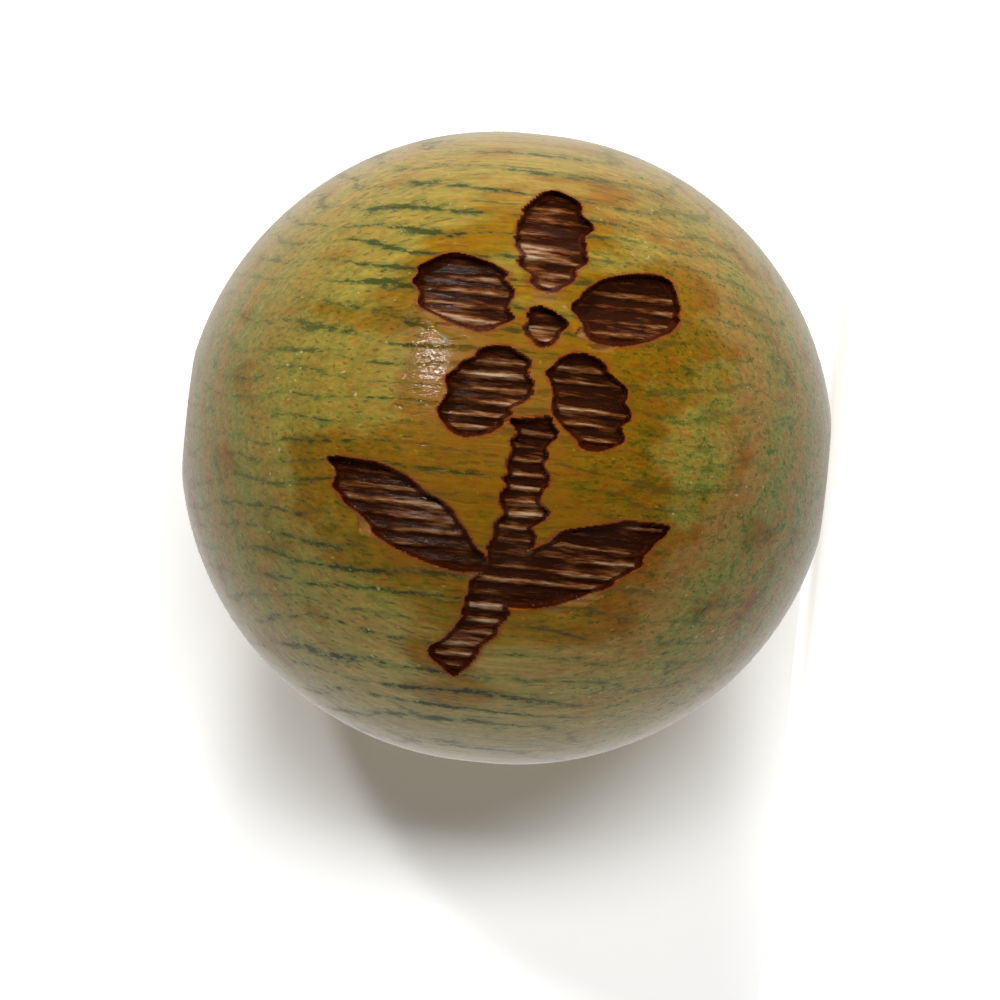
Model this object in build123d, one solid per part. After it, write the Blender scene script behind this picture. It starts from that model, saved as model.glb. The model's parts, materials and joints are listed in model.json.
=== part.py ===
from build123d import *

import os
from math import acos, asin, ceil, cos, degrees, hypot, radians, sin, sqrt, tan

# A wooden bead, turned as a slightly long ball, faced at both ends, drilled from end
# to end for a cord, and engraved on its belly with a flower on a stem. The engraving
# is burnt in line by line, so that each of its shapes has a floor of parallel furrows.
#
# Frame: +Z runs along the bore, and the bead stands on its lower end face with the
# origin at that face's centre. The engraved side faces -Y. Seen from -Y with +X up,
# the flower stands upright: a place (across, up) on it then counts to the right (-Z)
# and upwards (+X) from the middle of the belly.
#
# All sizes are in millimetres and all angles in degrees.

# The turned ball
BEAD_DIAMETER = 12.0  # across the belly, at right angles to the bore
BELLY_BAND = 0.4  # how far the ball's two round halves stand apart
END_RIM = 0.25  # width of each end face, the ring round the bore's mouth
END_ROUND = 0.6  # radius between the belly and each end face

# The cord's hole
BORE_DIAMETER = 1.7
BORE_BREAK = 0.1  # chamfer at each mouth

# The engraving's lines: furrows side by side, with narrow floors and sloping sides
LINE_DEPTH = 0.42  # from the belly down to a furrow's floor
LINE_FLOOR = 0.1  # width of the floor
LINE_ANGLE = 50.0  # between a furrow's two sides
LINE_PITCH = 0.25  # from one furrow to the next
EVEN_OUT_TO = 3.0  # how far from the middle a furrow still has its full depth
BEAM_REACH = 0.3  # how far the cutting body stands out of the belly

# The flower head: a heart with petals round it
FLOWER_HEART = (0.45, 2.25)
HEART_DIAMETER = 0.7
PETALS = 5
FIRST_PETAL = 90.0  # direction of the first petal, counted from across
PETAL_RING = 1.6  # from the flower's heart to a petal's middle
PETAL_LENGTH = 1.9
PETAL_WIDTH = 1.3

# The stem, a bow from its cut end up to the flower
STEM_FOOT = (-0.75, -4.15)
STEM_TOP = (0.4, 0.55)
STEM_WIDTH = 0.7
STEM_BOW = 0.45  # how far the middle stands off the straight line

# The leaves, each from its base on the stem to its tip
LEAVES = [
    ((-0.1, -2.35), (-3.3, -0.55)),
    ((-0.05, -2.9), (3.1, -1.15)),
]
LEAF_WIDTH = 1.2

RADIUS = BEAD_DIAMETER / 2
BORE_RADIUS = BORE_DIAMETER / 2
MOUTH_RADIUS = BORE_RADIUS + BORE_BREAK
END_RADIUS = MOUTH_RADIUS + END_RIM
MIDDLE = BELLY_BAND / 2 + sqrt(RADIUS**2 - END_RADIUS**2)  # half the bead's length
SIDE_SLOPE = tan(radians(LINE_ANGLE / 2))


def ball():
    """The turned ball between its end faces, with the belly rounded over into them."""
    half_band = BELLY_BAND / 2
    reach = degrees(acos(END_RADIUS / RADIUS))
    upper = CenterArc((0, half_band), RADIUS, 0, reach)
    lower = CenterArc((0, -half_band), RADIUS, 0, -reach)
    ends = Polyline(upper @ 1, (0, MIDDLE), (0, -MIDDLE), lower @ 1)
    outline = make_face([upper, ends, lower, Line(lower @ 0, upper @ 0)])
    whole = revolve(Plane.XZ * outline, Axis.Z)
    rims = whole.edges().filter_by(GeomType.CIRCLE).group_by(Axis.Z)
    return Pos(0, 0, MIDDLE) * fillet(rims[0] + rims[-1], END_ROUND)


def bore():
    """The drilled hole, with a chamfer at each mouth."""
    side = [(MOUTH_RADIUS, 0), (BORE_RADIUS, BORE_BREAK), (BORE_RADIUS, MIDDLE)]
    lower = revolve(Plane.XZ * make_face(Polyline((0, 0), *side, (0, MIDDLE), close=True)), Axis.Z)
    return lower + mirror(lower, Plane.XY.offset(MIDDLE))


def beside_middle(start, end, distance):
    """The point this far to the left of the middle of the line from start to end."""
    run, rise = end[0] - start[0], end[1] - start[1]
    share = distance / hypot(run, rise)
    return (start[0] + end[0]) / 2 - rise * share, (start[1] + end[1]) / 2 + run * share


def leaf(base, tip):
    """A leaf between two bows that meet at its base and its tip."""
    left, right = (beside_middle(base, tip, side * LEAF_WIDTH / 2) for side in (1, -1))
    return make_face([ThreePointArc(base, left, tip), ThreePointArc(tip, right, base)])


def stem():
    """The stem, an even strip along its bow."""
    bow = ThreePointArc(STEM_FOOT, beside_middle(STEM_FOOT, STEM_TOP, -STEM_BOW), STEM_TOP)
    return trace(bow, STEM_WIDTH)


def flower_head():
    """The heart and the petals round it."""
    petal = Ellipse(PETAL_LENGTH / 2, PETAL_WIDTH / 2)
    petals = PolarLocations(PETAL_RING, PETALS, FIRST_PETAL) * petal
    return Pos(*FLOWER_HEART) * (Circle(HEART_DIAMETER / 2) + petals)


def swing_offset():
    """How far behind the bore the axis lies that every line is swung about. The belly is
    flatter along the bore than round it, and a line about this axis keeps to its curve."""
    rise = sqrt(RADIUS**2 - (EVEN_OUT_TO - BELLY_BAND / 2) ** 2)
    return (EVEN_OUT_TO**2 + rise**2 - RADIUS**2) / (2 * (RADIUS - rise))


def above_furrows(low, high, reach):
    """All that lies over the furrows between two heights, out to reach on both sides."""
    behind = swing_offset()
    half = LINE_FLOOR / 2
    heights = [low + row * LINE_PITCH for row in range(ceil((high - low) / LINE_PITCH) + 1)]
    floors = [sqrt(RADIUS**2 - up**2) + behind - LINE_DEPTH for up in heights]
    outline = [(heights[0] - half, floors[0])]
    for up, floor, next_floor in zip(heights, floors, floors[1:]):
        # The ridge between two furrows stands nearer to the one with the higher floor.
        side = (LINE_PITCH - LINE_FLOOR + (next_floor - floor) * SIDE_SLOPE) / 2
        outline.append((up + half, floor))
        outline.append((up + half + side, floor + side / SIDE_SLOPE))
        outline.append((up + LINE_PITCH - half, next_floor))
    top = RADIUS + behind + BEAM_REACH
    outline += [(heights[-1] + half, floors[-1]), (heights[-1] + half, top), (heights[0] - half, top)]
    # The section stands at one end of the swing, its y pointing out of the belly.
    swing = asin(reach / (RADIUS + behind))
    section = Plane((0, behind, MIDDLE), x_dir=(1, 0, 0), z_dir=(0, -sin(swing), -cos(swing)))
    profile = section * make_face(Polyline(*outline, close=True))
    return revolve(profile, Axis(section.origin, section.x_dir), degrees(2 * swing))


def engraving():
    """The whole picture, burnt straight down into the belly as far as the furrows."""
    picture = flower_head() + stem() + [leaf(base, tip) for base, tip in LEAVES]
    belly = Plane((0, 0, MIDDLE), x_dir=(0, 0, -1), z_dir=(0, -1, 0))
    beam = extrude(belly * picture, RADIUS + BEAM_REACH)
    box = picture.bounding_box()
    reach = max(-box.min.X, box.max.X) + LINE_PITCH
    return beam & above_furrows(box.min.Y - LINE_PITCH, box.max.Y + LINE_PITCH, reach)


bead = ball() - bore() - engraving()
bead.label = "bead"

os.makedirs("parts", exist_ok=True)
export_step(bead, "parts/bead.step")
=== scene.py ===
"""The looks of a turned, drilled and engraved bead of heavy olive and gold hardwood.

The engraving is burnt in line by line. What the solid model cuts as even furrows is given
its ragged line ends, worn ridges, chipped lower edges and charred colours here, with painted
shade in the furrows, a painted sheen on the ridges and painted light on the lower edges.
Sizes are in metres. Names ending in _MM and all that the wood's grain reads are in
millimetres.
"""

import json
from math import asin, cos, pi, radians, sin, tan

import bpy
from bpy.props import FloatProperty, IntProperty, PointerProperty
from mathutils import Matrix, Vector, noise
from mathutils.bvhtree import BVHTree
from mathutils.kdtree import KDTree

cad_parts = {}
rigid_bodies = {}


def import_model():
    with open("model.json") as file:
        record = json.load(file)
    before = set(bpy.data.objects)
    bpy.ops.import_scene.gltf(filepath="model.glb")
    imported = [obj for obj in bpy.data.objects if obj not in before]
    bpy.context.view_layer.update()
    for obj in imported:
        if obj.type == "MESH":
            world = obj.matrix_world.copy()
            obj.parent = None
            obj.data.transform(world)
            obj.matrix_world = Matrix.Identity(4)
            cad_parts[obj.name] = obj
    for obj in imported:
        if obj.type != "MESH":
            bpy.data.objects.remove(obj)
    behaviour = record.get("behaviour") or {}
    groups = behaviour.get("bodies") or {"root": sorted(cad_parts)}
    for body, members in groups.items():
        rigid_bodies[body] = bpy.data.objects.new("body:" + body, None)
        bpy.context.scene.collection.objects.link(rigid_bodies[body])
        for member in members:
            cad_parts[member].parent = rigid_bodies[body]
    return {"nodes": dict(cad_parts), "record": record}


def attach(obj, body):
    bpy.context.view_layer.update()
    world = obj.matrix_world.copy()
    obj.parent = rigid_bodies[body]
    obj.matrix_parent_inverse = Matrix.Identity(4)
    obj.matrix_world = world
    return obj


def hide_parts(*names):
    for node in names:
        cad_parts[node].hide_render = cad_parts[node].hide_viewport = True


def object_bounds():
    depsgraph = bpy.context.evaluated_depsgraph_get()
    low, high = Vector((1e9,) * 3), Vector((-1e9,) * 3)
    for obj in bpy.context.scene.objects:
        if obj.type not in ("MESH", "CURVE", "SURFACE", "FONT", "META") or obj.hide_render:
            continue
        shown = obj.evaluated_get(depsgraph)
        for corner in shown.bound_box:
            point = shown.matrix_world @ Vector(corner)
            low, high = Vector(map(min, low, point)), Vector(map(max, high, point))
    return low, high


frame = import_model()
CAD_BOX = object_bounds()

bl_info = {
    "name": "Engraved wooden bead",
    "version": (1, 0, 0),
    "blender": (4, 5, 0),
    "location": "3D View > Sidebar > Bead",
    "description": "Models an engraved wooden bead and a plain stage to show it on",
    "category": "Add Mesh",
}

MM = 0.001
CAD_LOW, CAD_HIGH = CAD_BOX
LENGTH = CAD_HIGH.z - CAD_LOW.z
MIDDLE = Vector((0, 0, LENGTH / 2))
RADIUS = (CAD_HIGH.x - CAD_LOW.x) / 2
STRING_BORE = next(m for m in frame["record"]["mounts"] if m["name"] == "string_bore")
BORE_RADIUS = STRING_BORE["dims"]["r_mm"] * MM

PROBE_START_MM = 1.0  # how far before the belly a probe of the furrows starts
PROBE_REACH_MM = 3.0
VESSEL_ROW_MM = 0.42  # from one row of vessels to the next
TUBE_SPACING_MM = 0.19  # between the single vessels that stand between the rows
CARD_WIDTH = 1.2  # of the floor and of the backdrop


# ---------------------------------------------------------------- settings


class BeadSizes(bpy.types.PropertyGroup):
    """Sizes of the bead that the solid model's box doesn't give."""

    belly_band: FloatProperty(
        name="Belly band",
        description="How far the ball's two round halves stand apart",
        default=0.4 * MM,
        unit="LENGTH",
    )
    bore_break: FloatProperty(
        name="Bore break",
        description="Chamfer at each mouth of the cord's hole",
        default=0.1 * MM,
        unit="LENGTH",
    )
    end_round: FloatProperty(
        name="End round",
        description="Radius between the belly and each end face",
        default=0.6 * MM,
        unit="LENGTH",
    )
    segments: IntProperty(
        name="Segments",
        description="Faces round the ball before the engraved side is refined",
        default=128,
        min=32,
    )
    refinement: IntProperty(
        name="Refinement",
        description="Cuts across each face of the engraved side",
        default=9,
        min=1,
    )


class EngravingSizes(bpy.types.PropertyGroup):
    """How far the burnt lines stray from the even furrows of the solid model."""

    full_depth: FloatProperty(
        name="Full depth",
        description="From the belly down to the floor of a furrow",
        default=0.42 * MM,
        unit="LENGTH",
    )
    ridge_height: FloatProperty(
        name="Ridge height",
        description="From the floor of a furrow up to the ridge beside it",
        default=0.16 * MM,
        unit="LENGTH",
    )
    ragged_ends: FloatProperty(
        name="Ragged ends",
        description="How far a line may end early or late",
        default=0.2 * MM,
        unit="LENGTH",
    )
    wander: FloatProperty(
        name="Wander",
        description="How far a line may stray to its side",
        default=0.06 * MM,
        unit="LENGTH",
    )
    edge_wear: FloatProperty(
        name="Edge wear",
        description="How far the rim of a stroke is rounded over",
        default=0.03 * MM,
        unit="LENGTH",
    )
    line_variation: FloatProperty(
        name="Line variation",
        description="How much deeper or shallower one line is burnt than the next",
        default=0.15 * MM,
        unit="LENGTH",
    )
    fibre_depth: FloatProperty(
        name="Fibre depth",
        description="Height of the fibres left standing on the furrows' floors",
        default=0.03 * MM,
        unit="LENGTH",
    )
    chip_depth: FloatProperty(
        name="Chip depth",
        description="Depth of the splinters torn out below a stroke",
        default=0.09 * MM,
        unit="LENGTH",
    )
    glow_reach: FloatProperty(
        name="Glow reach",
        description="How far the brown of a stroke's wall shines through the wood beside it",
        default=0.1 * MM,
        unit="LENGTH",
    )
    stain_reach: FloatProperty(
        name="Stain reach",
        description="How far the heat has stained the wood round a stroke",
        default=1.5 * MM,
        unit="LENGTH",
    )


class StageSettings(bpy.types.PropertyGroup):
    """Where the camera stands and how the lamps are set."""

    view_width: FloatProperty(
        name="View width",
        description="Width of what the camera sees at the bead",
        default=19.02 * MM,
        unit="LENGTH",
    )
    camera_distance: FloatProperty(
        name="Camera distance",
        description="From the camera to the bead's middle",
        default=160 * MM,
        unit="LENGTH",
    )
    bore_tilt: FloatProperty(
        name="Bore tilt",
        description="How far the bore dips to the right in the picture",
        default=radians(6.0),
        subtype="ANGLE",
    )
    shift_right: FloatProperty(
        name="Shift right",
        description="How far the bead sits to the right of the picture's middle",
        default=0.127 * MM,
        unit="LENGTH",
    )
    shift_up: FloatProperty(
        name="Shift up",
        description="How far the bead sits above the picture's middle",
        default=0.989 * MM,
        unit="LENGTH",
    )
    backdrop_gap: FloatProperty(
        name="Backdrop gap",
        description="From the bead's back to the backdrop",
        default=0.2 * MM,
        unit="LENGTH",
    )
    floor_lift: FloatProperty(
        name="Floor lift",
        description="Brightness that the floor shows in full shade",
        default=0.7,
    )
    lamp_distance: FloatProperty(
        name="Lamp distance",
        description="From each lamp to the bead's middle",
        default=250 * MM,
        unit="LENGTH",
    )
    front_level: FloatProperty(
        name="Front level",
        description="Brightness that the lamp over the camera gives a white surface facing it",
        default=0.585,
    )
    top_level: FloatProperty(
        name="Top level",
        description="Brightness that the lamp above the picture gives a white surface facing it",
        default=0.56,
    )
    glint_level: FloatProperty(
        name="Glint level",
        description="Brightness that the small lamp gives a white surface facing it",
        default=0.17,
    )
    fill_level: FloatProperty(
        name="Fill level",
        description="Brightness that the room alone gives a white surface",
        default=0.1,
    )
    back_level: FloatProperty(
        name="Back level",
        description="Brightness of the room behind the bead, where white surfaces stand close",
        default=0.88,
    )
    dim_side: FloatProperty(
        name="Dim side",
        description="Brightness of the room behind the camera, as a reflection shows it",
        default=0.035,
    )
    bright_side: FloatProperty(
        name="Bright side",
        description="Brightness of the room behind the bead, as a reflection shows it",
        default=0.8,
    )


# ---------------------------------------------------------------- small helpers


def linear(code):
    """The linear RGBA of an sRGB hex colour such as "A87B1E"."""
    parts = [int(code[n : n + 2], 16) / 255 for n in (0, 2, 4)]
    return [c / 12.92 if c <= 0.04045 else ((c + 0.055) / 1.055) ** 2.4 for c in parts] + [1.0]


def smooth_step(low, high, value):
    """0 below low, 1 above high, and a smooth rise between."""
    share = min(max((value - low) / (high - low), 0.0), 1.0)
    return share * share * (3 - 2 * share)


def add(tree, kind, inputs=None, stops=None, **settings):
    """Adds a node. Inputs go to its sockets, as values or as links from other nodes' sockets,
    stops to its colour ramp as (position, hex colour), and settings to the node itself."""
    node = tree.nodes.new(kind)
    for name, value in settings.items():
        setattr(node, name, value)
    for socket, value in (inputs or {}).items():
        if isinstance(value, bpy.types.NodeSocket):
            tree.links.new(value, node.inputs[socket])
        else:
            node.inputs[socket].default_value = value
    if stops:
        elements = node.color_ramp.elements
        while len(elements) < len(stops):
            elements.new(1.0)
        for element, (position, code) in zip(elements, stops):
            element.position = position
            element.color = linear(code)
    return node


def edit_only(piece):
    """Makes the piece the one selected and active object, in edit mode with nothing selected."""
    if bpy.context.object and bpy.context.object.mode != "OBJECT":
        bpy.ops.object.mode_set(mode="OBJECT")
    bpy.ops.object.select_all(action="DESELECT")
    piece.select_set(True)
    bpy.context.view_layer.objects.active = piece
    bpy.ops.object.mode_set(mode="EDIT")
    bpy.ops.mesh.select_all(action="DESELECT")


def pick_faces(piece, wanted):
    """Selects the faces for which wanted(face) holds, and leaves the piece in edit mode."""
    bpy.ops.object.mode_set(mode="OBJECT")
    for face in piece.data.polygons:
        face.select = wanted(face)
    bpy.ops.object.mode_set(mode="EDIT")


# ---------------------------------------------------------------- the turned ball


def on_ball(point, sizes):
    """The nearest point of the plain turned ball."""
    half_band = sizes.belly_band / 2
    centre = Vector((0, 0, min(max(point.z, MIDDLE.z - half_band), MIDDLE.z + half_band)))
    return centre + (point - centre).normalized() * RADIUS


def turn_ball(sizes):
    """A ball with its halves set apart, faced at both ends and drilled through."""
    bpy.ops.object.select_all(action="DESELECT")
    bpy.ops.mesh.primitive_uv_sphere_add(
        segments=sizes.segments, ring_count=sizes.segments // 2, radius=RADIUS, location=MIDDLE
    )
    piece = bpy.context.object
    piece.name = "engraved_bead"
    bpy.ops.object.transform_apply(location=True)
    half_band = sizes.belly_band / 2
    for vertex in piece.data.vertices:
        above = vertex.co.z - MIDDLE.z
        if abs(above) > half_band:
            vertex.co.z += half_band if above > 0 else -half_band
    face_off_ends(piece)
    drill(piece, sizes)
    round_ends(piece, sizes)
    return piece


def face_off_ends(piece):
    """Cuts the ball off flat at both ends and closes it with an end face."""
    for height, outwards in ((0.0, -1), (LENGTH, 1)):
        edit_only(piece)
        bpy.ops.mesh.select_all(action="SELECT")
        bpy.ops.mesh.bisect(
            plane_co=(0, 0, height),
            plane_no=(0, 0, outwards),
            use_fill=True,
            clear_outer=True,
            threshold=1e-8,
        )
    bpy.ops.object.mode_set(mode="OBJECT")


def is_end_cap(face):
    """Whether the face closes an end of the bead, across the axis."""
    across_axis = abs(face.normal.z) > 0.999
    return across_axis and Vector(face.center[:2]).length < 0.1 * MM and len(face.vertices) > 8


def drill(piece, sizes):
    """Opens the cord's hole through both end faces, with a chamfer at each mouth."""
    cut_radius = min(Vector(v.co[:2]).length for v in piece.data.vertices)
    rim = cut_radius - BORE_RADIUS - sizes.bore_break
    edit_only(piece)
    bpy.ops.mesh.select_mode(type="FACE")
    pick_faces(piece, is_end_cap)
    bpy.ops.mesh.inset(thickness=rim, use_individual=True)
    bpy.ops.mesh.inset(thickness=sizes.bore_break, use_individual=True)
    bpy.ops.object.mode_set(mode="OBJECT")
    for face in piece.data.polygons:
        if face.select:
            inwards = 1 if face.center.z < MIDDLE.z else -1
            for number in face.vertices:
                piece.data.vertices[number].co.z += inwards * sizes.bore_break
    bpy.ops.object.mode_set(mode="EDIT")
    bpy.ops.mesh.bridge_edge_loops(number_cuts=11)
    bpy.ops.object.mode_set(mode="OBJECT")


def round_ends(piece, sizes):
    """Rounds the rim between each end face and the belly, as far as its radius reaches."""
    to_end = LENGTH / 2 - sizes.belly_band / 2
    turn = pi / 2 - asin(to_end / RADIUS)
    rim_radius = RADIUS * sin(turn)
    edit_only(piece)
    bpy.ops.mesh.select_mode(type="EDGE")
    bpy.ops.object.mode_set(mode="OBJECT")
    points = piece.data.vertices
    for edge in piece.data.edges:
        ends = [points[number].co for number in edge.vertices]
        flat = all(min(abs(co.z), abs(co.z - LENGTH)) < 1e-7 for co in ends)
        edge.select = flat and all(Vector(co[:2]).length > 0.99 * rim_radius for co in ends)
    bpy.ops.object.mode_set(mode="EDIT")
    bpy.ops.mesh.bevel(offset=sizes.end_round * tan(turn / 2), segments=3, affect="EDGES")
    bpy.ops.object.mode_set(mode="OBJECT")


# ---------------------------------------------------------------- the engraving


def furrow_probe():
    """A function that tells how deep the solid model's furrows lie below a place on the
    belly, straight in from the engraved side."""
    cad = frame["nodes"]["bead"].data
    points = [v.co / MM for v in cad.vertices]
    tree = BVHTree.FromPolygons(points, [p.vertices[:] for p in cad.polygons])
    inwards = Vector((0, 1, 0))

    def depth(x, z, surface_y):
        start = Vector((x / MM, surface_y / MM - PROBE_START_MM, z / MM))
        place, _, _, travelled = tree.ray_cast(start, inwards, PROBE_REACH_MM)
        return 0.0 if place is None else max(travelled - PROBE_START_MM, 0.0) * MM

    return depth


def refine_engraved_side(piece, sizes, depth):
    """Cuts the faces in and beside the engraving finer, lays them on the true ball, and
    returns the numbers of their points."""

    def engraved(face):
        if face.center.y > -0.3 * RADIUS or abs(face.normal.z) > 0.95:
            return False
        corners = [piece.data.vertices[number].co for number in face.vertices]
        places = corners + [face.center] + [(c + face.center) / 2 for c in corners]
        return any(depth(place.x, place.z, place.y) > 0.05 * MM for place in places)

    edit_only(piece)
    bpy.ops.mesh.select_mode(type="FACE")
    pick_faces(piece, engraved)
    bpy.ops.mesh.select_more()
    bpy.ops.mesh.subdivide(number_cuts=sizes.refinement)
    bpy.ops.object.mode_set(mode="OBJECT")
    refined = [v for v in piece.data.vertices if v.select]
    for vertex in refined:
        vertex.co = on_ball(vertex.co, sizes)
    return [v.index for v in refined]


def burn(point, depth, cut):
    """How deep the wood is burnt at this point of the belly, how high it stands over the
    furrow's floor as a share of a ridge, how much of its surroundings is burnt, and how
    much is splintered off below a stroke, a lower edge that the wood's colours also paint
    pale as painted light."""
    up, across = point.x / MM, (MIDDLE.z - point.z) / MM
    # Each line runs on or stops short by itself, and strays a little on its way.
    shift = noise.noise((3.6 * up, 0.5 * across, 1.7))
    shift += 0.2 * noise.noise((8.0 * up, 1.5 * across, 4.3))
    stray = noise.noise((0.8 * up, 0.5 * across, 5.2))
    stray += 0.3 * noise.noise((2.0 * up, 2.5 * across, 9.1))
    x, z = point.x + cut.wander * stray, point.z + cut.ragged_ends * shift
    reach = cut.edge_wear
    taps = [(dx * reach, dz * reach) for dx in (-1, 0, 1) for dz in (-1, 0, 1)]
    even = sum(depth(x + dx, z + dz, point.y) for dx, dz in taps) / len(taps)
    even *= smooth_step(0.09 * MM, 0.17 * MM, even)
    inside = smooth_step(0.1 * MM, 0.24 * MM, even)
    turns = [n * pi / 4 for n in range(8)]
    ring = [depth(x + cut.glow_reach * cos(a), z + cut.glow_reach * sin(a), point.y) for a in turns]
    around = sum(smooth_step(0.15 * MM, 0.24 * MM, there) for there in ring) / len(ring)
    # The next line may be burnt deeper or be left shallower, and so its ridge is worn.
    lines = noise.noise((2.1 * up, 0.16 * across, 2.9))
    lines += 0.6 * noise.noise((5.0 * up, 0.4 * across, 0.4))
    # Harder fibres stay proud of the floor.
    fibres = noise.noise((9.0 * up, 0.5 * across, 3.3))
    fibres += 0.6 * noise.noise((19.0 * up, 1.6 * across, 6.1))
    burnt = even + inside * (cut.line_variation * (lines - 0.1) + cut.fibre_depth * fibres)
    too_deep = max(burnt - cut.full_depth, 0.0)
    burnt -= too_deep * too_deep / (too_deep + cut.fibre_depth)
    ridge = (cut.full_depth - burnt) / cut.ridge_height
    # Below a stroke, splinters come away with the char, and the wood's colours paint this lower
    # edge pale as painted light, as if lit by the lamp above.
    above = depth(x + 0.2 * MM, z, point.y)
    tear = smooth_step(0.1, 0.35, noise.noise((1.1 * up, 0.8 * across, 7.7)))
    splinter = max(0.6 + 1.2 * noise.noise((9.0 * up, 0.6 * across, 8.8)), 0.0)
    torn = tear * splinter * smooth_step(0.1 * MM, 0.3 * MM, above) * (1 - inside)
    return max(burnt, 0.0), ridge, around, torn


def engrave(piece, sizes, cut):
    """Burns the flower and its leaves into the ball, and notes for the wood's colours how
    deep, how scorched and how torn each point is; the torn lower edges are painted pale as
    painted light."""
    depth = furrow_probe()
    refined = refine_engraved_side(piece, sizes, depth)
    points = piece.data.vertices
    found = {number: burn(points[number].co, depth, cut) for number in refined}
    deepest = cut.full_depth + cut.fibre_depth + cut.chip_depth
    group = piece.vertex_groups.new(name="engraved")
    for number, (burnt, _, _, torn) in found.items():
        group.add([number], (burnt + cut.chip_depth * torn) / deepest, "REPLACE")
    note_scorching(piece, found, cut)
    sink = piece.modifiers.new("engraving", "DISPLACE")
    sink.vertex_group = group.name
    sink.direction = "Y"
    sink.mid_level = 0.0
    sink.strength = deepest
    bpy.ops.object.select_all(action="DESELECT")
    piece.select_set(True)
    bpy.context.view_layer.objects.active = piece
    bpy.ops.object.modifier_apply(modifier=sink.name)


def note_scorching(piece, found, cut):
    """Stores, for the wood's colours, each point's depth in mm, its height over the furrow's
    floor, which sets the char's painted shade and sheen, its nearness to the char, its heat
    stain and its splinters, which also carry painted light."""
    points = piece.data.vertices
    burnt_points = [number for number, (burnt, *_) in found.items() if burnt > 0.15 * MM]
    near = KDTree(len(burnt_points))
    for number in burnt_points:
        near.insert(points[number].co, number)
    near.balance()
    notes = {"burnt": [], "ridge": [], "around": [], "stain": [], "torn": []}
    for vertex in points:
        burnt, ridge, around, torn = found.get(vertex.index, (0.0, 0.0, 0.0, 0.0))
        away = near.find(vertex.co)[2]
        notes["burnt"].append(burnt / MM)
        notes["ridge"].append(ridge)
        notes["around"].append(around)
        # The middle of the belly was heated the most.
        off_middle = Vector((vertex.co.x + 0.3 * MM, vertex.co.z - MIDDLE.z - 0.4 * MM)).length
        heat = 1 - 0.6 * smooth_step(1.2 * MM, 4.2 * MM, off_middle)
        notes["stain"].append(heat * (1 - smooth_step(0.0, cut.stain_reach, away)))
        notes["torn"].append(torn)
    for name, values in notes.items():
        attribute = piece.data.attributes.new(name, "FLOAT", "POINT")
        attribute.data.foreach_set("value", values)


# ---------------------------------------------------------------- the wood


def bead_wood():
    """Verawood, a heavy, oily heartwood of olive and gold with long dark vessels, turned,
    sanded fine and waxed to a soft gloss. The engraving is charred: dark red-brown walls,
    and floors that the melted resin leaves glossy."""
    material = bpy.data.materials.new("waxed_verawood_with_charred_engraving")
    material.use_nodes = True
    tree = material.node_tree
    tree.nodes.clear()
    place = add(tree, "ShaderNodeTexCoord").outputs["Object"]
    grain = add(
        tree, "ShaderNodeVectorMath", {0: place, "Scale": 1 / MM}, operation="SCALE"
    ).outputs[0]
    bare, vessels, fibres, speckle = grain_colour(tree, grain)
    burnt = add(tree, "ShaderNodeAttribute", attribute_name="burnt").outputs["Fac"]
    colour, soot = scorched_colour(tree, grain, bare, burnt)
    charred = ramp_up(tree, burnt, 0.02, 0.14)
    # Waxed wood lies between silk and gloss; an open vessel is dull, melted resin is bright.
    waxed = add(tree, "ShaderNodeMapRange", {0: fibres, 1: 0.3, 2: 0.7, 3: 0.3, 4: 0.48}).outputs[0]
    dull = add(
        tree, "ShaderNodeMath", {0: vessels, 1: 0.25, 2: waxed}, operation="MULTIPLY_ADD"
    ).outputs[0]
    melted = add(
        tree, "ShaderNodeMapRange", {0: soot, 1: 0.35, 2: 0.65, 3: 0.16, 4: 0.4}
    ).outputs[0]
    rough = add(
        tree, "ShaderNodeMix", {0: charred, 2: dull, 3: melted}, data_type="FLOAT"
    ).outputs[0]
    height = add(
        tree, "ShaderNodeMath", {0: vessels, 1: -0.8, 2: fibres}, operation="MULTIPLY_ADD"
    ).outputs[0]
    height = add(
        tree, "ShaderNodeMath", {0: speckle, 1: 0.6, 2: height}, operation="MULTIPLY_ADD"
    ).outputs[0]
    streaks = add(tree, "ShaderNodeMath", {0: soot, 1: 4.0}, operation="MULTIPLY").outputs[0]
    height = add(
        tree, "ShaderNodeMix", {0: charred, 2: height, 3: streaks}, data_type="FLOAT"
    ).outputs[0]
    relief = add(tree, "ShaderNodeBump", {"Height": height, "Distance": 0.011 * MM}).outputs[0]
    shader = add(
        tree,
        "ShaderNodeBsdfPrincipled",
        {
            "Base Color": colour,
            "Roughness": rough,
            "IOR": 1.45,
            "Coat Weight": 0.6,
            "Coat Roughness": 0.09,
            "Coat IOR": 1.45,
            "Normal": relief,
            "Coat Normal": relief,
        },
    ).outputs[0]
    add(tree, "ShaderNodeOutputMaterial", {"Surface": shader})
    return material


def ramp_up(tree, value, low, high, top=1.0):
    """0 below low, top above high, and a smooth rise between."""
    return add(
        tree,
        "ShaderNodeMapRange",
        {0: value, 1: low, 2: high, 3: 0.0, 4: top},
        interpolation_type="SMOOTHSTEP",
    ).outputs[0]


def blend(tree, share, first, second, mode="MIX"):
    """The first colour where share is 0 and the second, mixed in by this mode, where it is 1."""
    return add(
        tree, "ShaderNodeMix", {0: share, 6: first, 7: second}, data_type="RGBA", blend_type=mode
    ).outputs[2]


def grained_noise(tree, grain, sizes, start=(0.0, 0.0, 0.0), detail=3.0, roughness=0.5):
    """Noise whose spots have these sizes in mm, across, in depth and along the bore."""
    scale = tuple(1 / size for size in sizes)
    stretched = add(
        tree, "ShaderNodeMapping", {"Vector": grain, "Scale": scale, "Location": start}
    ).outputs[0]
    return add(
        tree,
        "ShaderNodeTexNoise",
        {"Vector": stretched, "Scale": 1.0, "Detail": detail, "Roughness": roughness},
    ).outputs["Fac"]


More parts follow.
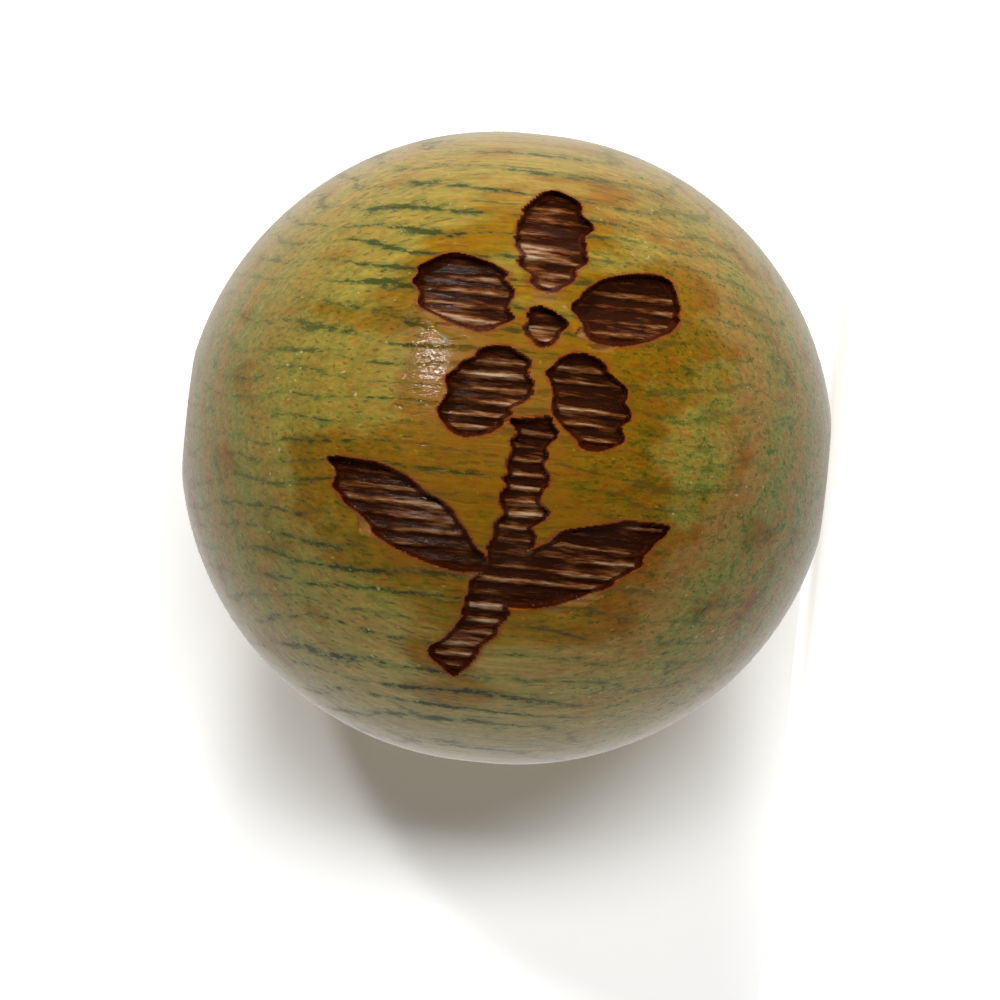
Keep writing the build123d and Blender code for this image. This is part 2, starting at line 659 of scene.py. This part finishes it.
def grained_noise_vector(tree, grain, sizes):
    """Three noises in one, as a vector round zero, with spots of these sizes in mm."""
    scale = tuple(1 / size for size in sizes)
    stretched = add(tree, "ShaderNodeMapping", {"Vector": grain, "Scale": scale}).outputs[0]
    colour = add(
        tree, "ShaderNodeTexNoise", {"Vector": stretched, "Scale": 1.0, "Detail": 3.0}
    ).outputs["Color"]
    return add(
        tree, "ShaderNodeVectorMath", {0: colour, 1: (0.5, 0.5, 0.5)}, operation="SUBTRACT"
    ).outputs[0]


def grain_colour(tree, grain):
    """Colour of the bare wood, how far each point lies in a vessel and on a fibre, and its
    speckle."""
    place = add(tree, "ShaderNodeSeparateXYZ", {0: grain}).outputs
    colour, layer, along = layered_colour(tree, grain, place)
    flecks = grained_noise(
        tree, grain, (0.26, 0.26, 0.5), (4.1, 0.2, 3.3), detail=6.0, roughness=0.84
    )
    colour = flecked_colour(tree, colour, flecks, place)
    colour = browner_band(tree, colour, along, place)
    # Towards the top of the picture the wood is painted paler and yellower, and towards the bottom
    # paler and greyer: painted light, standing in for the lamp above and for the light that the
    # white table below throws back.
    colour = blend(tree, ramp_up(tree, place[0], 0.5, 6.0, 0.6), colour, linear("BA983C"))
    colour = blend(tree, ramp_up(tree, place[0], -2.4, -5.2, 0.7), colour, linear("AE9856"))
    fibres = grained_noise(tree, grain, (0.09, 0.09, 1.1), detail=3.0, roughness=0.6)
    speckle = grained_noise(
        tree, grain, (0.08, 0.08, 0.13), (1.0, 7.0, 2.0), detail=3.0, roughness=0.6
    )
    colour = toned_colour(tree, colour, layer, fibres, speckle)
    vessels, halo = thinned_vessels(tree, grain, place)
    colour = blend(tree, halo, colour, linear("6A7228"))
    colour = blend(tree, vessels, colour, linear("404814"))
    colour = clustered_dots(tree, colour, flecks, speckle, place)
    # Pale cream specks, scattered singly over the wood: painted glints, small highlights on the
    # wax.
    painted_glint_specks = grained_noise(tree, grain, (0.1, 0.1, 0.15), (8.0, 2.0, 5.0), detail=1.0)
    colour = blend(tree, ramp_up(tree, painted_glint_specks, 0.72, 0.8, 0.6), colour, linear("CCC6A4"))
    return colour, vessels, fibres, speckle


def layered_colour(tree, grain, place):
    """Colour of the growth layers, the depth in mm that each point's layer lies at, and the
    same as a share of all the layers."""
    # Slow swirls, 3.5 mm across and three times as long, bend every layer a little.
    bend = grained_noise(tree, grain, (3.5, 3.5, 11.0), (2.3, 0.4, 1.1), detail=2.0)
    # The growth layers lie flat behind the engraved side, one after another towards the back.
    tilted = add(
        tree, "ShaderNodeMath", {0: place[0], 1: -0.1, 2: place[1]}, operation="MULTIPLY_ADD"
    ).outputs[0]
    layer = add(
        tree, "ShaderNodeMath", {0: bend, 1: 2.4, 2: tilted}, operation="MULTIPLY_ADD"
    ).outputs[0]
    along = add(tree, "ShaderNodeMapRange", {0: layer, 1: -5.0, 2: 7.0, 3: 0.0, 4: 1.0}).outputs[0]
    colour = add(
        tree,
        "ShaderNodeValToRGB",
        {0: along},
        stops=[
            (0.0, "9C8024"),
            (0.06, "9A802C"),
            (0.12, "948636"),
            (0.17, "9C8036"),
            (0.22, "8C883E"),
            (0.26, "A27E38"),
            (0.29, "908C44"),
            (0.33, "AA8644"),
            (0.36, "9C9450"),
            (0.4, "B28C4A"),
            (0.44, "A89C54"),
            (0.49, "C0924C"),
            (0.55, "A49650"),
            (0.66, "B48A48"),
            (0.8, "9C8E4A"),
            (1.0, "AE8846"),
        ],
    ).outputs[0]
    return colour, layer, along


def flecked_colour(tree, colour, flecks, place):
    """The colour with the red-brown and green cells that are mixed in the gold, in flecks
    drawn out along the grain. They are strongest towards the bead's foot."""
    strength = add(
        tree, "ShaderNodeMapRange", {0: place[2], 1: 9.0, 2: 3.5, 3: 0.6, 4: 1.0}
    ).outputs[0]
    for low, high, top, code in (
        (0.48, 0.4, 0.8, "925C22"),
        (0.5, 0.56, 0.75, "727A30"),
        (0.56, 0.64, 0.8, "4C5A20"),
    ):
        share = ramp_up(tree, flecks, low, high, top)
        share = add(
            tree, "ShaderNodeMath", {0: share, 1: strength}, operation="MULTIPLY"
        ).outputs[0]
        colour = blend(tree, share, colour, linear(code))
    return colour


def browner_band(tree, colour, along, place):
    """The colour with one browner layer, which shows as an arc towards the bead's foot."""
    band = add(
        tree,
        "ShaderNodeMath",
        {0: ramp_up(tree, along, 0.11, 0.14), 1: ramp_up(tree, along, 0.2, 0.17, 0.5)},
        operation="MULTIPLY",
    ).outputs[0]
    at_foot = ramp_up(tree, place[2], 6.0, 3.8)
    band = add(tree, "ShaderNodeMath", {0: band, 1: at_foot}, operation="MULTIPLY").outputs[0]
    return blend(tree, band, colour, linear("A4703A"))


def toned_colour(tree, colour, layer, fibres, speckle):
    """The colour made lighter and darker in fine lines within a layer, a few tenths of a
    millimetre apart, and by its fibres and its speckle."""
    lines = add(
        tree,
        "ShaderNodeTexNoise",
        {"W": layer, "Scale": 2.6, "Detail": 4.0, "Roughness": 0.62},
        noise_dimensions="1D",
    ).outputs["Fac"]
    tone = add(
        tree, "ShaderNodeMath", {0: lines, 1: 0.5, 2: fibres}, operation="MULTIPLY_ADD"
    ).outputs[0]
    tone = add(
        tree, "ShaderNodeMath", {0: speckle, 1: 0.6, 2: tone}, operation="MULTIPLY_ADD"
    ).outputs[0]
    light = add(tree, "ShaderNodeMapRange", {0: tone, 1: 0.75, 2: 1.35, 3: 0.7, 4: 1.3}).outputs[0]
    return add(
        tree, "ShaderNodeVectorMath", {0: colour, "Scale": light}, operation="SCALE"
    ).outputs[0]


def thinned_vessels(tree, grain, place):
    """The masks of the vessels and of the green tissue round them, weakened where the bead
    shows fewer vessels."""
    off_middle = add(
        tree, "ShaderNodeMath", {0: place[2], 1: MIDDLE.z / MM}, operation="SUBTRACT"
    ).outputs[0]
    towards_end = add(tree, "ShaderNodeMath", {0: off_middle}, operation="ABSOLUTE").outputs[0]
    # Cut across, at the ends, a vessel shows the pale gum that fills it.
    open_side = add(
        tree, "ShaderNodeMapRange", {0: towards_end, 1: 3.0, 2: 5.2, 3: 1.0, 4: 0.4}
    ).outputs[0]
    # The layers from the bead's middle to its back have fewer of them.
    crowded = add(
        tree, "ShaderNodeMapRange", {0: place[1], 1: -3.6, 2: -1.2, 3: 1.0, 4: 0.45}
    ).outputs[0]
    shown = add(tree, "ShaderNodeMath", {0: open_side, 1: crowded}, operation="MULTIPLY").outputs[0]
    # Towards the bead's foot the grain runs wild, and few keep straight.
    straight = add(
        tree, "ShaderNodeMapRange", {0: place[2], 1: 5.6, 2: 4.0, 3: 1.0, 4: 0.5}
    ).outputs[0]
    shown = add(tree, "ShaderNodeMath", {0: shown, 1: straight}, operation="MULTIPLY").outputs[0]
    return [
        add(tree, "ShaderNodeMath", {0: mask, 1: shown}, operation="MULTIPLY").outputs[0]
        for mask in vessel_masks(tree, grain)
    ]


def clustered_dots(tree, colour, flecks, speckle, place):
    """The colour with clusters of dark dots towards the bead's foot, where the grain runs
    wild and its vessels are cut short."""
    wild = ramp_up(tree, place[2], 6.2, 4.0)
    clusters = ramp_up(tree, flecks, 0.42, 0.54)
    clustered = add(tree, "ShaderNodeMath", {0: clusters, 1: wild}, operation="MULTIPLY").outputs[0]
    dots = ramp_up(tree, speckle, 0.54, 0.62, 0.7)
    dots = add(tree, "ShaderNodeMath", {0: dots, 1: clustered}, operation="MULTIPLY").outputs[0]
    return blend(tree, dots, colour, linear("465218"))


def vessel_masks(tree, grain):
    """Where a vessel is cut open, and where the green tissue round it colours the wood."""
    # Vessels stand in rows behind one another, so that the belly shows them as broken lines
    # along the bore.
    place = add(tree, "ShaderNodeSeparateXYZ", {0: grain}).outputs
    sway = grained_noise(tree, grain, (1.6, 1.6, 9.0), (5.0, 1.0, 8.0), detail=1.0)
    swayed = add(tree, "ShaderNodeMath", {0: sway, 1: 5.0}, operation="MULTIPLY").outputs[0]
    row = add(
        tree,
        "ShaderNodeMath",
        {0: place[0], 1: 2 / VESSEL_ROW_MM, 2: swayed},
        operation="MULTIPLY_ADD",
    ).outputs[0]
    across = add(tree, "ShaderNodeMath", {0: row, 1: 1.0}, operation="PINGPONG").outputs[0]
    narrow = add(tree, "ShaderNodeMath", {0: across, 1: 1.5}, operation="POWER").outputs[0]
    broken = grained_noise(
        tree, grain, (0.1, 0.25, 0.32), (2.2, 6.1, 0.4), detail=5.0, roughness=0.75
    )
    crowd = grained_noise(tree, grain, (1.1, 1.1, 2.4), (0.7, 3.1, 0.2), detail=2.0)
    chains = add(
        tree, "ShaderNodeMath", {0: narrow, 1: 0.34, 2: broken}, operation="MULTIPLY_ADD"
    ).outputs[0]
    chains = add(
        tree, "ShaderNodeMath", {0: crowd, 1: 0.6, 2: chains}, operation="MULTIPLY_ADD"
    ).outputs[0]
    # The small single ones between the rows run straight on, and the ends cut them to dots.
    waver = grained_noise_vector(tree, grain, (0.4, 0.4, 0.8))
    shake = add(
        tree,
        "ShaderNodeVectorMath",
        {0: waver, 1: (0.28, 0.28, 0.0), 2: grain},
        operation="MULTIPLY_ADD",
    ).outputs[0]
    spread = (1 / TUBE_SPACING_MM, 1 / TUBE_SPACING_MM, 0.0)
    tubes = add(tree, "ShaderNodeMapping", {"Vector": shake, "Scale": spread}).outputs[0]
    cells = add(
        tree, "ShaderNodeTexVoronoi", {"Vector": tubes, "Scale": 1.0}, voronoi_dimensions="2D"
    ).outputs
    single = ramp_up(tree, cells["Distance"], 0.17, 0.08, 0.5)
    in_row = ramp_up(tree, chains, 1.06, 1.2, 0.95)
    opened = add(tree, "ShaderNodeMath", {0: in_row, 1: single}, operation="MAXIMUM").outputs[0]
    return opened, ramp_up(tree, chains, 0.9, 1.12, 0.6)


def scorched_colour(tree, grain, bare, burnt):
    """The wood's colour with the amber heat stain, the char, with painted shade in its furrows and
    a painted grey sheen on its ridges, and the pale splinters on it, which are partly painted
    light, and how sooty each point of the char is."""
    stain = add(tree, "ShaderNodeAttribute", attribute_name="stain").outputs["Fac"]
    ridge = add(tree, "ShaderNodeAttribute", attribute_name="ridge").outputs["Fac"]
    around = add(tree, "ShaderNodeAttribute", attribute_name="around").outputs["Fac"]
    torn = add(tree, "ShaderNodeAttribute", attribute_name="torn").outputs["Fac"]
    soot = grained_noise(tree, grain, (0.06, 0.3, 0.5), (3.0, 5.0, 1.0), detail=4.0, roughness=0.65)
    # The heat draws the oil out of the wood, which turns amber, and brown right at a rim.
    heat = grained_noise(tree, grain, (0.9, 0.9, 1.8), (3.3, 1.5, 6.0), detail=3.0)
    patchy = add(
        tree, "ShaderNodeMath", {0: heat, 1: 1.8, 2: -0.82}, operation="MULTIPLY_ADD"
    ).outputs[0]
    warm = add(tree, "ShaderNodeMath", {0: stain, 1: patchy}, operation="ADD").outputs[0]
    amber = blend(tree, ramp_up(tree, warm, 0.1, 0.55), bare, linear("E4C020"), mode="MULTIPLY")
    amber = blend(tree, ramp_up(tree, warm, 0.6, 1.1, 0.55), amber, linear("8C5A04"))
    toasted = blend(tree, ramp_up(tree, around, 0.02, 0.5), amber, linear("8A4410"))
    # Char is darkest in a furrow, and pale brown with a grey bloom on the ridges: partly the char's
    # own colour, and partly painted shade in the furrows and a painted sheen on the ridges.
    proud = add(
        tree, "ShaderNodeMath", {0: soot, 1: 2.6, 2: -1.35}, operation="MULTIPLY_ADD"
    ).outputs[0]
    low = add(tree, "ShaderNodeMath", {0: ridge, 1: 0.9}, operation="MINIMUM").outputs[0]
    shade = add(tree, "ShaderNodeMath", {0: low, 1: proud}, operation="ADD").outputs[0]
    char = add(
        tree,
        "ShaderNodeValToRGB",
        {0: shade},
        stops=[
            (0.0, "341506"),
            (0.25, "5C2E10"),
            (0.5, "825028"),
            (0.75, "9C7450"),
            (1.0, "BA9E80"),
        ],
    ).outputs[0]
    walled = blend(tree, ramp_up(tree, around, 0.95, 0.7), char, linear("4C1C08"))
    charred = blend(tree, ramp_up(tree, burnt, 0.04, 0.12), toasted, walled)
    # Pale tan below each stroke: splinters torn out of the wood, and painted light on the lower
    # edge that faces the lamp above.
    splinters = add(
        tree, "ShaderNodeMath", {0: torn, 1: 1.1}, operation="MULTIPLY", use_clamp=True
    ).outputs[0]
    return blend(tree, splinters, charred, linear("9A6A34")), soot


# ---------------------------------------------------------------- the stage


def ray_kinds(tree, *kinds):
    """1 on rays of any of these kinds, such as Is Camera Ray, and 0 on others."""
    path = add(tree, "ShaderNodeLightPath").outputs
    found = path[kinds[0]]
    for kind in kinds[1:]:
        found = add(
            tree, "ShaderNodeMath", {0: found, 1: path[kind]}, operation="MAXIMUM"
        ).outputs[0]
    return found


def white_card(name, lift=0.0, double=False):
    """Matt white card for the camera alone: to every other ray it is clear, so that the room
    lights the bead evenly. The lift is a light of its own. A double card has a second, greyer
    coat, and so shows about one and a half times the light that falls on it."""
    material = bpy.data.materials.new(name)
    material.use_nodes = True
    tree = material.node_tree
    tree.nodes.clear()
    card = add(tree, "ShaderNodeBsdfDiffuse", {"Color": linear("F2F2F2")}).outputs[0]
    if double:
        more = add(tree, "ShaderNodeBsdfDiffuse", {"Color": linear("C6C6C6")}).outputs[0]
        card = add(tree, "ShaderNodeAddShader", {0: card, 1: more}).outputs[0]
    glow = add(tree, "ShaderNodeEmission", {"Strength": lift}).outputs[0]
    lit = add(tree, "ShaderNodeAddShader", {0: card, 1: glow}).outputs[0]
    behind = add(tree, "ShaderNodeNewGeometry").outputs["Backfacing"]
    front = add(tree, "ShaderNodeMath", {0: 1.0, 1: behind}, operation="SUBTRACT").outputs[0]
    looked_at = ray_kinds(tree, "Is Camera Ray")
    seen = add(tree, "ShaderNodeMath", {0: looked_at, 1: front}, operation="MULTIPLY").outputs[0]
    clear = add(tree, "ShaderNodeBsdfTransparent").outputs[0]
    surface = add(tree, "ShaderNodeMixShader", {0: seen, 1: clear, 2: lit}).outputs[0]
    add(tree, "ShaderNodeOutputMaterial", {"Surface": surface})
    return material


def add_floor(stage):
    """The pale floor that the bead stands on."""
    bpy.ops.mesh.primitive_plane_add(size=CARD_WIDTH, location=(0, 0, 0))
    floor = bpy.context.object
    floor.name = "floor"
    floor.data.materials.append(white_card("white_floor_card", lift=stage.floor_lift))


def add_backdrop(stage):
    """A pale upright card close behind the bead, which catches its shadow. Only its front
    is seen, so that it hides nothing from behind."""
    place = (0, RADIUS + stage.backdrop_gap, CARD_WIDTH / 2)
    bpy.ops.mesh.primitive_plane_add(size=CARD_WIDTH, location=place, rotation=(pi / 2, 0, 0))
    backdrop = bpy.context.object
    backdrop.name = "backdrop"
    backdrop.data.materials.append(white_card("white_backdrop_card", double=True))


def picture_axes(stage):
    """The picture's right, its up, and the way from the bead to the camera."""
    tilt = stage.bore_tilt
    right = Vector((sin(tilt), 0, -cos(tilt)))
    up = Vector((cos(tilt), 0, sin(tilt)))
    return right, up, right.cross(up)


def add_camera(stage):
    """Looks along +Y at the engraved side, rolled so that the flower stands upright."""
    right, up, back = picture_axes(stage)
    camera = bpy.data.cameras.new("camera")
    camera.sensor_width = 36.0
    camera.lens = camera.sensor_width * stage.camera_distance / stage.view_width
    camera.dof.use_dof = False
    camera.clip_start = 0.01
    camera.clip_end = 5.0
    holder = bpy.data.objects.new("camera", camera)
    bpy.context.scene.collection.objects.link(holder)
    aim = MIDDLE - right * stage.shift_right - up * stage.shift_up
    turn = Matrix((right, up, back)).transposed().to_4x4()
    holder.matrix_world = Matrix.Translation(aim + back * stage.camera_distance) @ turn
    bpy.context.scene.camera = holder


def add_lamp(name, direction, distance, height, width, level, glints=True):
    """A lamp that, alone, gives a white surface facing it this brightness. Its height stands
    along the picture's up. It shows as a bright spot in gloss only where glints is true."""
    direction = direction.normalized()
    lamp = bpy.data.lights.new(name, "AREA")
    lamp.shape = "RECTANGLE"
    lamp.size = height
    lamp.size_y = width
    lamp.energy = level * pi**2 * distance**2
    holder = bpy.data.objects.new(name, lamp)
    bpy.context.scene.collection.objects.link(holder)
    holder.location = MIDDLE + direction * distance
    holder.rotation_mode = "QUATERNION"
    holder.rotation_quaternion = direction.to_track_quat("Z", "Y")
    holder.visible_glossy = glints


def add_lights(stage):
    """A wide lamp over the camera, one above the picture, a small one for the glint, and a
    white room that is dim behind the camera."""
    right, up, back = picture_axes(stage)
    over_camera = back + up * 0.3 + right * 0.11
    above = back * 0.35 + up * 0.93 + right * 0.05
    at_glint = back * 0.774 + up * 0.514 - right * 0.371
    away = stage.lamp_distance
    add_lamp("front_lamp", over_camera, away, 50 * MM, 150 * MM, stage.front_level, glints=False)
    add_lamp("top_lamp", above, away, 50 * MM, 50 * MM, stage.top_level, glints=False)
    add_lamp("glint_lamp", at_glint, away, 18 * MM, 20 * MM, stage.glint_level)
    world = bpy.context.scene.world or bpy.data.worlds.new("white_room")
    bpy.context.scene.world = world
    world.use_nodes = True
    tree = world.node_tree
    tree.nodes.clear()
    direction = add(tree, "ShaderNodeTexCoord").outputs["Generated"]
    depth = add(tree, "ShaderNodeSeparateXYZ", {0: direction}).outputs["Y"]
    gloss = add(
        tree,
        "ShaderNodeMapRange",
        {0: depth, 1: 0.0, 2: 1.0, 3: stage.dim_side, 4: stage.bright_side},
    ).outputs[0]
    # The white table lights the bead from behind and from below the picture.
    from_table = add(
        tree, "ShaderNodeVectorMath", {0: direction, 1: (-0.28, 1.0, 0.0)}, operation="DOT_PRODUCT"
    ).outputs["Value"]
    fill = add(
        tree,
        "ShaderNodeMapRange",
        {0: from_table, 1: -0.3, 2: 0.2, 3: stage.fill_level, 4: stage.back_level},
    ).outputs[0]
    reflected = ray_kinds(tree, "Is Glossy Ray")
    level = add(
        tree, "ShaderNodeMix", {0: reflected, 2: fill, 3: gloss}, data_type="FLOAT"
    ).outputs[0]
    seen = ray_kinds(tree, "Is Camera Ray", "Is Transmission Ray")
    level = add(tree, "ShaderNodeMix", {0: seen, 2: level, 3: 1.0}, data_type="FLOAT").outputs[0]
    room = add(
        tree, "ShaderNodeBackground", {"Color": linear("FFFFFF"), "Strength": level}
    ).outputs[0]
    add(tree, "ShaderNodeOutputWorld", {"Surface": room})


# ---------------------------------------------------------------- operators and panel


class BEAD_OT_make_bead(bpy.types.Operator):
    """Turn, drill and engrave the bead, and give it its wood"""

    bl_idname = "bead.make_bead"
    bl_label = "Make bead"
    bl_options = {"REGISTER", "UNDO"}

    def execute(self, context):
        sizes = context.scene.bead_sizes
        piece = turn_ball(sizes)
        engrave(piece, sizes, context.scene.engraving_sizes)
        bpy.ops.object.shade_smooth_by_angle(angle=radians(50))
        piece.data.materials.clear()
        piece.data.materials.append(bead_wood())
        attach(piece, "root")
        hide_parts("bead")
        return {"FINISHED"}


class BEAD_OT_make_stage(bpy.types.Operator):
    """Add the floor, the backdrop, the lamps and the camera"""

    bl_idname = "bead.make_stage"
    bl_label = "Make stage"
    bl_options = {"REGISTER", "UNDO"}

    def execute(self, context):
        stage = context.scene.stage_settings
        add_floor(stage)
        add_backdrop(stage)
        add_camera(stage)
        add_lights(stage)
        context.scene.view_settings.view_transform = "Standard"
        return {"FINISHED"}


class BEAD_PT_panel(bpy.types.Panel):
    """Lists the bead's settings and its operators"""

    bl_idname = "BEAD_PT_panel"
    bl_label = "Bead"
    bl_space_type = "VIEW_3D"
    bl_region_type = "UI"
    bl_category = "Bead"

    def draw(self, context):
        scene = context.scene
        for settings in (scene.bead_sizes, scene.engraving_sizes, scene.stage_settings):
            box = self.layout.box()
            for name in settings.__annotations__:
                box.prop(settings, name)
        self.layout.operator(BEAD_OT_make_bead.bl_idname)
        self.layout.operator(BEAD_OT_make_stage.bl_idname)


CLASSES = (
    BeadSizes,
    EngravingSizes,
    StageSettings,
    BEAD_OT_make_bead,
    BEAD_OT_make_stage,
    BEAD_PT_panel,
)


def register():
    for cls in CLASSES:
        bpy.utils.register_class(cls)
    bpy.types.Scene.bead_sizes = PointerProperty(type=BeadSizes)
    bpy.types.Scene.engraving_sizes = PointerProperty(type=EngravingSizes)
    bpy.types.Scene.stage_settings = PointerProperty(type=StageSettings)


def unregister():
    del bpy.types.Scene.stage_settings
    del bpy.types.Scene.engraving_sizes
    del bpy.types.Scene.bead_sizes
    for cls in reversed(CLASSES):
        bpy.utils.unregister_class(cls)


def main():
    register()
    bpy.ops.bead.make_bead()
    bpy.ops.bead.make_stage()


if __name__ == "__main__":
    main()
